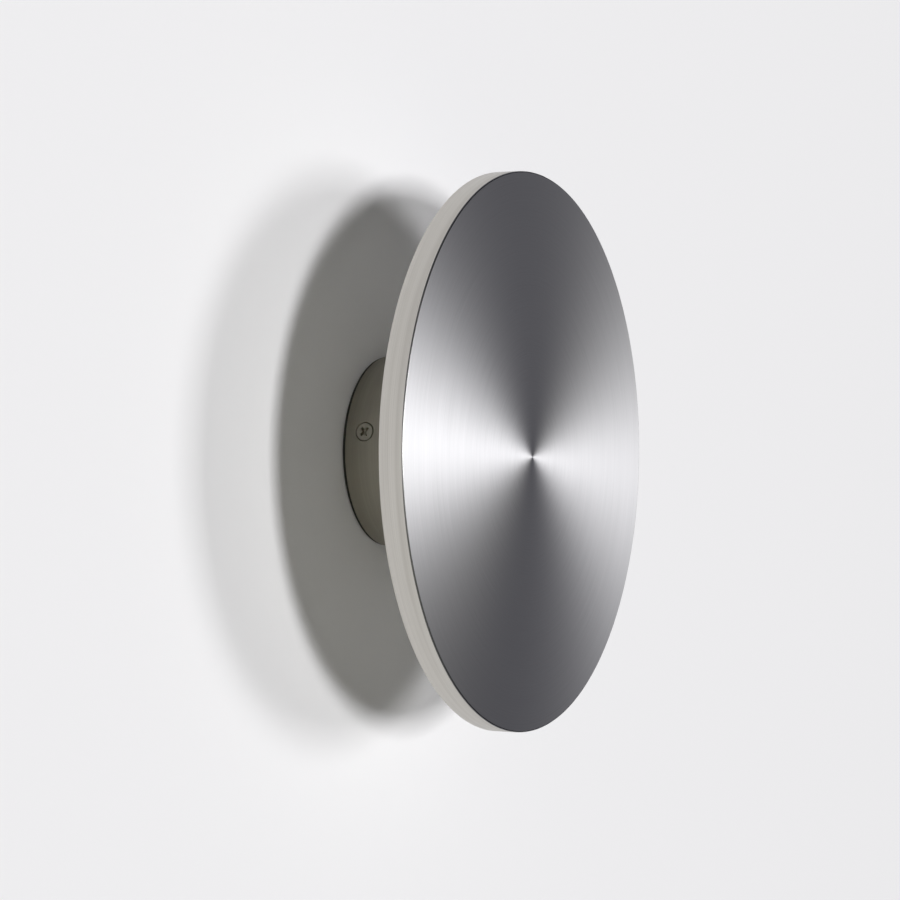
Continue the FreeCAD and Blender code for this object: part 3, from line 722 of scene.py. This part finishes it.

# %% [markdown]
# ## The cross recess
# A cross recess in each screw's head takes the screwdriver. A cutter for it is a cube whose four sides are
# pulled out to the arms of a cross, and whose lower end is scaled down, because the recess narrows with
# depth. Dirt and shade make a recess dark, so what cuts it carries a dark colour, partly dirt and partly
# painted shade, which the Boolean leaves on the faces that it cuts.

# %% Make the recess's cutter and finish
recess_span, recess_slot, recess_depth = 5.4 * MM, 1.5 * MM, 1.9 * MM
recess_taper = 0.7
recess_grain = 900.0
# Dark colours for the recess: partly dirt, partly painted shade.
recess_dirt_and_shade_colours = ((0.010, 0.006, 0.004), (0.035, 0.022, 0.013))
recess_roughness = (0.5, 0.7)


def recess_material():
    material, tree, shader = new_finish("screw_recess_dirt_and_shade")
    worn = noise(tree, place_on_piece(tree), recess_grain)
    tree.links.new(tint(tree, worn, recess_dirt_and_shade_colours), shader.inputs["Base Color"])
    tree.links.new(map_range(tree, worn, grain_range, recess_roughness), shader.inputs["Roughness"])
    return material


def cross_cutter(angle):
    """A cross, wide above the head and narrow at its bottom, with its arms at 45 degrees to the hub."""
    clear_selection()
    bpy.ops.mesh.primitive_cube_add(size=recess_slot, location=(0, 0, screw_top))
    cutter = bpy.context.object
    bpy.ops.object.transform_apply(location=True, rotation=True, scale=True)
    reach = (recess_span - recess_slot) / 2
    for x, y in ((1, 0), (-1, 0), (0, 1), (0, -1)):
        pick(cutter, "FACE", lambda c, n: n.x * x + n.y * y > nearly_along and c.xy.length < recess_slot)
        bpy.ops.mesh.extrude_region_move(TRANSFORM_OT_translate={"value": (x * reach, y * reach, 0)})
    for side, place in ((1, recess_slot), (-1, -recess_depth)):
        pick(cutter, "FACE", lambda c, n: n.z * side > nearly_along)
        bpy.ops.transform.translate(value=(0, 0, place - side * recess_slot / 2))
    bpy.ops.transform.resize(value=(recess_taper, recess_taper, 1), center_override=(0, 0, 0))
    only(cutter)
    arms_turned = Euler((0, 0, math.pi / 4)).to_matrix().to_4x4()
    cutter.matrix_world = lay_over(angle).to_matrix().to_4x4() @ arms_turned
    cutter.location.y = -screw_depth
    bpy.ops.object.transform_apply(location=True, rotation=True, scale=True)
    return cutter


recess_dirt_and_shade = recess_material()
print(recess_dirt_and_shade.name, f"recess {recess_span / MM:.1f} mm across, {recess_depth / MM:.1f} mm deep")

# %% [markdown]
# ## The side screws
# Each is an M4 machine screw with a countersunk head, and it stops a little below the hub's side. When it is
# backed out its thread shows, so the thread is there too, as a row of rings, because at this size a ring and
# a turn of a helix look alike. The cross and a cone in its middle are then cut out of the head.

# %% Model the side screws
thread_radius, thread_root, thread_pitch = 2.0 * MM, 1.62 * MM, 0.7 * MM
crest_start, crest_end, next_root = 0.25 * thread_pitch, 0.38 * thread_pitch, 0.63 * thread_pitch
tip_radius = thread_root - 0.4 * MM
screw_length = 9.6 * MM
head_break_down, head_break_in = 0.05 * MM, 0.08 * MM
core_radius, core_tip_radius, core_depth = 1.5 * MM, 0.5 * MM, 2.3 * MM
core_above = 0.5 * MM
screw_colours = ((0.40, 0.38, 0.32), (0.52, 0.50, 0.43))


def screw_outline():
    """From the tip, up the rings of the thread, to the countersunk head's broken edge."""
    tip = screw_top - screw_length
    neck = screw_top - head_rim - (head_radius - thread_radius)
    outline = [(tip, tip_radius)]
    ring = tip + thread_pitch / 2
    while ring < neck - thread_pitch:
        outline += [(ring, thread_root), (ring + crest_start, thread_radius),
                    (ring + crest_end, thread_radius), (ring + next_root, thread_root)]
        ring += thread_pitch
    return outline + [(neck, thread_radius), (screw_top - head_rim, head_radius),
                      (screw_top - head_break_down, head_radius), (screw_top, head_radius - head_break_in)]


def model_screw(name, angle, body, node):
    screw = side_turned(name, screw_outline(), angle, sides=48)
    screw.data.materials.append(screw_finish)
    core_outline = [(screw_top - core_depth, core_tip_radius), (screw_top + core_above, core_radius)]
    for cutter in (cross_cutter(angle), side_turned("core", core_outline, angle, sides=24)):
        cutter.data.materials.append(recess_dirt_and_shade)
        cut(screw, cutter)
    shade(screw)
    place_piece(screw, body, node)


screw_finish = satin_material("screw_steel", screw_colours, roughness=(0.42, 0.30), around=60)
model_screw("left_side_screw", screw_turn, "left_screw", "side_screw_left")
model_screw("right_side_screw", screw_turn + math.pi, "right_screw", "side_screw_right")

# %% [markdown]
# ## Plain surfaces
# Rubber, plastic and plain metal have an even grain. One function makes them all: colour, roughness and
# relief follow the same noise, so that a lighter spot is also a rougher one, as wear and moulding leave it.

# %% Finish: an even grain
grain_height = 0.05 * MM


def grained(name, colours, roughness, scale, metallic=0.0, strength=0.05):
    """A finish with an even grain. scale is in grains per metre, and strength is that of the relief."""
    material, tree, shader = new_finish(name)
    grain = noise(tree, place_on_piece(tree), scale, rough=0.6)
    shader.inputs["Metallic"].default_value = metallic
    tree.links.new(tint(tree, grain, colours), shader.inputs["Base Color"])
    tree.links.new(map_range(tree, grain, grain_range, roughness), shader.inputs["Roughness"])
    relief(tree, shader, grain, strength, grain_height)
    return material


foam_colours = ((0.030, 0.030, 0.025), (0.060, 0.060, 0.052))
opal_colours = ((0.72, 0.72, 0.67), (0.77, 0.77, 0.72))
opal_share_inside, opal_reach_inside = 0.35, 3 * MM
foam = grained("foam_rubber", foam_colours, roughness=(0.75, 0.95), scale=1800, strength=0.4)
opal = grained("opal_acrylic", opal_colours, roughness=(0.32, 0.42), scale=120, strength=0.02)
opal_shader = opal.node_tree.nodes["Principled BSDF"]
opal_shader.inputs["Subsurface Weight"].default_value = opal_share_inside
opal_shader.inputs["Subsurface Scale"].default_value = opal_reach_inside
print(foam.name, opal.name)

# %% [markdown]
# ## Rings: the gasket and the diffuser
# The foam gasket closes the hub against the wall, and the opal diffuser closes the back of the disc. Both are
# rings with rounded edges. The quick way by hand is to draw the section beside the axis and spin it once
# round: a plane is added at the section's place, its corners are rounded, its face is taken away, and the
# outline that is left is spun about the axis and merged where it meets itself.

# %% Spin the rings
gasket_width = 2.2 * MM
gasket_corner = 0.35 * MM
diffuser_bore = 43.8 * MM
diffuser_corner = 0.3 * MM
merge_distance = 0.002 * MM


def spun_ring(name, inner, outer, rear, front, corner, sides):
    """A ring about the light's axis with a rounded rectangular section."""
    clear_selection()
    bpy.ops.mesh.primitive_plane_add(size=1, location=((inner + outer) / 2, -(rear + front) / 2, 0))
    ring = bpy.context.object
    ring.name = ring.data.name = name
    ring.scale = (outer - inner, front - rear, 1)
    bpy.ops.object.transform_apply(location=True, rotation=True, scale=True)
    bpy.ops.object.mode_set(mode="EDIT")
    bpy.ops.mesh.select_mode(type="VERT")
    bpy.ops.mesh.select_all(action="SELECT")
    bpy.ops.mesh.bevel(offset=corner, segments=3, affect="VERTICES")
    bpy.ops.mesh.select_all(action="SELECT")
    bpy.ops.mesh.delete(type="ONLY_FACE")
    bpy.ops.mesh.select_all(action="SELECT")
    bpy.ops.mesh.spin(steps=sides, angle=2 * math.pi, center=(0, 0, 0), axis=(0, 1, 0))
    bpy.ops.mesh.select_all(action="SELECT")
    bpy.ops.mesh.remove_doubles(threshold=merge_distance)
    bpy.ops.mesh.normals_make_consistent(inside=False)
    only(ring)
    return ring


gasket = spun_ring("foam_gasket", gasket_radius - gasket_width, gasket_radius,
                   gasket_rear, gasket_front, gasket_corner, sides=160)
gasket.data.materials.append(foam)
shade(gasket)
place_piece(gasket, "lamp_head", "hub_gasket")

diffuser = spun_ring("opal_diffuser", diffuser_bore, diffuser_radius,
                     diffuser_rear, diffuser_front, diffuser_corner, sides=240)
diffuser.data.materials.append(opal)
shade(diffuser)
place_piece(diffuser, "lamp_head", "diffuser")

# %% [markdown]
# ## The pieces that seldom show
# Behind the disc sit the snap ring, the LED board and the driver, and on the wall the plate that holds it
# all. Their solids have the right shapes already, so they keep them, and each gets its own finish. The table
# pairs a material slot with its dark and light colour, its roughness there, its grains per metre, and 1 for
# a metal.

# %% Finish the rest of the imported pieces
plain_finishes = {
    "zinc_plate": (((0.52, 0.54, 0.55), (0.66, 0.68, 0.68)), (0.30, 0.45), 260, 1.0),
    "screw_steel": (((0.50, 0.48, 0.45), (0.60, 0.58, 0.55)), (0.30, 0.40), 900, 1.0),
    "spring_steel": (((0.22, 0.22, 0.23), (0.32, 0.32, 0.34)), (0.28, 0.42), 500, 1.0),
    "grommet_rubber": (((0.014, 0.014, 0.015), (0.030, 0.030, 0.032)), (0.50, 0.68), 700, 0.0),
    "thermal_silicone": (((0.30, 0.36, 0.42), (0.38, 0.44, 0.50)), (0.70, 0.85), 900, 0.0),
    "board_white": (((0.78, 0.78, 0.76), (0.84, 0.84, 0.82)), (0.25, 0.38), 300, 0.0),
    "chip_phosphor": (((0.80, 0.58, 0.10), (0.88, 0.68, 0.16)), (0.35, 0.50), 2500, 0.0),
    "spacer_nylon": (((0.74, 0.73, 0.69), (0.82, 0.81, 0.77)), (0.45, 0.60), 400, 0.0),
    "connector_nylon": (((0.76, 0.73, 0.64), (0.84, 0.81, 0.72)), (0.40, 0.55), 900, 0.0),
    "terminal_nylon": (((0.70, 0.71, 0.68), (0.78, 0.79, 0.76)), (0.35, 0.50), 700, 0.0),
    "driver_case": (((0.70, 0.70, 0.69), (0.78, 0.78, 0.77)), (0.40, 0.55), 1200, 0.0),
    "board_green": (((0.015, 0.12, 0.05), (0.03, 0.20, 0.09)), (0.28, 0.42), 600, 0.0),
    "transformer_black": (((0.015, 0.015, 0.016), (0.04, 0.04, 0.042)), (0.45, 0.65), 900, 0.0),
    "capacitor_can": (((0.02, 0.025, 0.05), (0.04, 0.05, 0.09)), (0.25, 0.38), 900, 0.0),
    "tinned_brass": (((0.62, 0.50, 0.26), (0.76, 0.64, 0.38)), (0.25, 0.40), 600, 1.0),
    "lead_brown": (((0.12, 0.045, 0.02), (0.18, 0.07, 0.03)), (0.38, 0.52), 900, 0.0),
    "lead_blue": (((0.02, 0.09, 0.38), (0.03, 0.13, 0.48)), (0.38, 0.52), 900, 0.0),
    "lead_red": (((0.50, 0.02, 0.015), (0.60, 0.03, 0.02)), (0.38, 0.52), 900, 0.0),
    "lead_black": (((0.012, 0.012, 0.012), (0.03, 0.03, 0.03)), (0.38, 0.52), 900, 0.0),
    "lead_green_yellow": (((0.05, 0.30, 0.05), (0.75, 0.65, 0.05)), (0.38, 0.52), 700, 0.0),
}
finishes = {"turned_steel": band_finish, "satin_steel": hub_painted_shade_finish,
            "opal_acrylic": opal, "gasket_rubber": foam}
for slot, values in plain_finishes.items():
    finishes[slot] = grained("part_" + slot, *values)
dressed = 0
for node in frame["nodes"].values():
    for place, packed in enumerate(node.data.materials):
        node.data.materials[place] = finishes[packed.name]
        dressed += 1
print(len(finishes), "finishes,", dressed, "packed pieces dressed")

# %% [markdown]
# ## Light for the back
# Only a camera behind the wall sees the side that touches it, where no light of the room comes. The lamp
# behind the wall is there for it. Light linking lets it light just the pieces that lie against the wall, and
# lets just those pieces shade it, so the wall isn't in its way and the view from the room stays as it is.

# %% Link the lamp behind the wall to its pieces
back_pieces = [frame["nodes"][name] for name in ("wall_plate", "entry_grommet", "plate_earth_screw")]
back_pieces.append(gasket)
lit_through_the_wall = bpy.data.collections.new("lit_through_the_wall")
shading_behind_the_wall = bpy.data.collections.new("shading_behind_the_wall")
for piece in back_pieces:
    lit_through_the_wall.objects.link(piece)
    shading_behind_the_wall.objects.link(piece)
back_lamp.light_linking.receiver_collection = lit_through_the_wall
back_lamp.light_linking.blocker_collection = shading_behind_the_wall
print(len(back_pieces), "pieces lit from behind")
